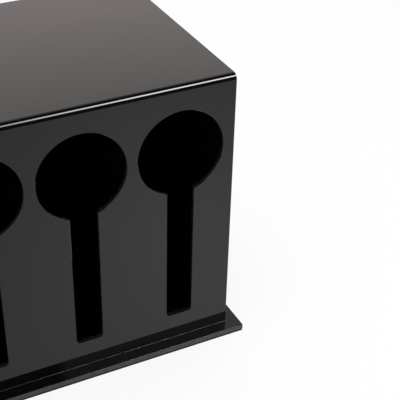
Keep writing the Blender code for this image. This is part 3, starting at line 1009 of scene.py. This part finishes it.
def floor():
    """A white floor. Gloss shows it brightest in the pool of light before the dispenser.

    The ground under the plate carries a painted shadow: its matt colour is painted dark there, and
    it shows only the light that falls there, so the gap stays dark.
    """
    made, tree, glow = glow_only("white_floor")
    matt = tree.nodes.new("ShaderNodeBsdfDiffuse")
    outside = outside_plate(tree)
    # Painted shadow: the matt floor is painted dark under the plate
    floor_and_painted_shadow = [(0.0, (FLOOR_PAINTED_SHADOW,) * 3), (1.0, (FLOOR_WHITE,) * 3)]
    tree.links.new(tint(tree, outside, floor_and_painted_shadow), matt.inputs["Color"])
    seen, gloss = light_share(tree)
    fade = pool(tree, POOL_MIDDLE, POOL_REACH, POOL_TURN)
    lit = tint(tree, fade, [(at, (level,) * 3) for at, level in POOL_GLOW])
    choose = tree.nodes.new("ShaderNodeMix")
    choose.data_type = "RGBA"
    choose.inputs[MIX_FIRST].default_value = (1, 1, 1, 1)
    tree.links.new(gloss, choose.inputs[MIX_SHARE])
    tree.links.new(lit, choose.inputs[MIX_SECOND])
    tree.links.new(choose.outputs[MIX_RESULT], glow.inputs["Color"])
    blend = tree.nodes.new("ShaderNodeMixShader")
    shown = reckon(tree, "MULTIPLY", spread(tree, seen, 0.0, FLOOR_GLOW, 0, 1), outside)
    tree.links.new(shown, blend.inputs["Fac"])
    tree.links.new(matt.outputs[0], blend.inputs[1])
    tree.links.new(glow.outputs[0], blend.inputs[2])
    tree.links.new(blend.outputs[0], tree.nodes["Material Output"].inputs["Surface"])
    shape = bmesh.new()
    bmesh.ops.create_grid(shape, x_segments=1, y_segments=1, size=0.5)
    bmesh.ops.scale(shape, vec=(*FLOOR_SIZE, 1), verts=shape.verts)
    object_of("floor", shape, [made])


def glowing(name, colours, height, level, foot=0, fade=None):
    """A card whose glow changes from its foot to its head, and may fade from one side to the other.

    A fade gives two places along X and the shares of the level that the card glows at there.
    """
    made, tree, glow = glow_only(name)
    places = along_axes(tree)
    rise = spread(tree, places["Z"], 0, 1, foot, foot + height)
    tree.links.new(tint(tree, rise, colours), glow.inputs["Color"])
    glow.inputs["Strength"].default_value = level
    if fade:
        sides, shares = fade
        low, high = (level * share for share in shares)
        tree.links.new(spread(tree, places["X"], low, high, *sides), glow.inputs["Strength"])
    tree.links.new(glow.outputs[0], tree.nodes["Material Output"].inputs["Surface"])
    return made


def hide_card(obj):
    """Lets only gloss see a card."""
    obj.visible_camera = False
    obj.visible_diffuse = False
    obj.visible_shadow = False
    obj.visible_transmission = False


def card_between(name, corners, material):
    shape = bmesh.new()
    shape.faces.new([shape.verts.new(corner) for corner in corners])
    hide_card(object_of(name, shape, [material]))


def hanging_card(name, seen_from, reach, angles, sides, stops, level, fade=None):
    """A glowing card before the dispenser, between two angles above the ground from a point."""
    edges = []
    for angle in angles:
        turn = math.radians(angle)
        edges.append(seen_from + Vector((0, -math.cos(turn), math.sin(turn))) * reach)
    low, high = edges
    left, right = (Vector((side, 0, 0)) for side in sides)
    made = glowing(name, stops, high.z - low.z, level, low.z, fade)
    card_between(name, [low + left, low + right, high + right, high + left], made)


def back_card():
    """The warm wall behind, whose glow falls off with height."""
    stops = [(height / WALL_HEIGHT, colour) for height, colour in WALL_GLOW]
    wall = glowing("bounce_wall", stops, WALL_HEIGHT, WALL_LEVEL)
    left, right = (Vector((side, WALL_PLACE, 0)) for side in WALL_SIDES)
    rise = Vector((0, 0, WALL_HEIGHT))
    card_between("back_card", [left, right, right + rise, left + rise], wall)


def dark_arch():
    """Black cloth on the floor in front, carried up in an arch over the dispenser."""
    cloth = glowing("black_cloth", CLOTH_GLOW, ARCH_RADIUS, CLOTH_LEVEL)
    vault = bmesh.new()
    start = math.radians(ARCH_START)
    foot = (-ARCH_RADIUS * math.cos(start), ARCH_RADIUS * math.sin(start))
    near = [vault.verts.new((side, *CLOTH_EDGE)) for side in ARCH_SIDES]
    ends = [vault.verts.new((side, *foot)) for side in ARCH_SIDES]
    vault.faces.new((*near, *reversed(ends)))
    bmesh.ops.spin(
        vault,
        geom=[*ends, vault.edges.get(ends)],
        axis=(-1, 0, 0),
        cent=(0, 0, 0),
        angle=math.radians(ARCH_END - ARCH_START),
        steps=ARCH_STEPS,
    )
    hide_card(object_of("dark_arch", vault, [cloth]))


def reflections():
    """What the gloss mirrors besides the floor: the wall, the black cloth and two light cards."""
    back_card()
    dark_arch()
    bend = Vector((0, cad_low.y, cad_high.z))
    strip = (STRIP_REACH, STRIP_ANGLES, STRIP_SIDES)
    hanging_card("strip_light", bend, *strip, STRIP_GLOW, STRIP_LEVEL, STRIP_FADE)
    joint = Vector((0, cad_low.y, 0))
    hanging_card("far_card", joint, FAR_REACH, FAR_ANGLES, FAR_SIDES, FAR_GLOW, FAR_LEVEL)


def soft_box():
    """One broad soft box overhead adds to the even light of the room. Gloss can't see it."""
    lamp = bpy.data.lights.new("overhead_box", "AREA")
    lamp.shape = "RECTANGLE"
    lamp.size, lamp.size_y = BOX_SIZE
    lamp.energy = BOX_POWER
    obj = bpy.data.objects.new("overhead_box", lamp)
    bpy.context.scene.collection.objects.link(obj)
    obj.location = BOX_PLACE
    aim = Vector(BOX_AIM) - Vector(BOX_PLACE)
    obj.rotation_euler = aim.to_track_quat("-Z", "Y").to_euler()
    obj.visible_camera = False
    obj.visible_glossy = False


ACRYLIC = polished_acrylic()
EDGES = {through: cut_edge(through) for through in "xyz"}
LASER_EDGE = laser_edge()
CEMENT = cement()
PLASTIC = moulded_plastic()
STEEL = drawn_steel()
NICKEL = nickel_plate()
RUBBER = foot_rubber()

bpy.context.scene.view_settings.view_transform = "Standard"
camera()
world()
floor()
reflections()
soft_box()
bent_sheet()
plate()
panels()
stile_and_door()
beads()
hinges()
knob()
screw()
catch()
feet()
